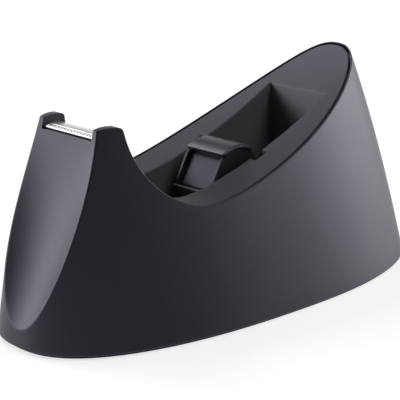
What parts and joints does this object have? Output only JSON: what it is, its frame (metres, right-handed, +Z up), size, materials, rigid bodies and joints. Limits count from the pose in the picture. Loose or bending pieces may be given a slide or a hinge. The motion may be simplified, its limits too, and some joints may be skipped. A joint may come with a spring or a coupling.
{
  "type": "tape dispenser",
  "caption": "Weighted desk tape dispenser with an oval leaning body, a scooped front, a steel tooth cutter and a lift-out three-pad core hub.",
  "frame": {"origin": "middle of the footprint, on the table", "axes": "+X from the cutter at the front to the tall back, +Y to the far side of the picture, +Z up"},
  "size_m": [0.1506, 0.072, 0.0675],
  "materials": {
    "body_plastic": "fine matt grain",
    "cover_plastic": "fine matt grain",
    "cutter_steel": "bright stamped strip",
    "base_plastic": "moulded",
    "sole_rubber": "soft foam",
    "ballast_iron": "raw casting",
    "screw_steel": "zinc plated",
    "hub_plastic": "moulded",
    "pad_plastic": "satin",
    "axle_steel": "ground rod"
  },
  "bodies": {
    "body": {"body_shell": "body_plastic", "top_cover": "cover_plastic", "cutter_blade": "cutter_steel", "base_plate": "base_plastic", "anti_slip_sole": "sole_rubber", "ballast_front": "ballast_iron", "ballast_back": "ballast_iron", "ballast_left": "ballast_iron", "ballast_right": "ballast_iron", "cover_screws": "screw_steel", "ballast_screws": "screw_steel"},
    "axle": {"hub_axle": "axle_steel"},
    "hub": {"hub_half_near": "hub_plastic", "hub_half_far": "hub_plastic", "grip_pad_top": "pad_plastic", "grip_pad_front": "pad_plastic", "grip_pad_back": "pad_plastic"}
  },
  "joints": [
    {"name": "hub_lift", "type": "slide", "parent": "body", "child": "axle", "axis": [0.342, 0, 0.9397], "range_m": [0, 0.045]},
    {"name": "hub_spin", "type": "hinge", "parent": "axle", "child": "hub", "pos_m": [0.0035, 0, 0.032], "axis": [0, 1, 0], "continuous": true}
  ]
}
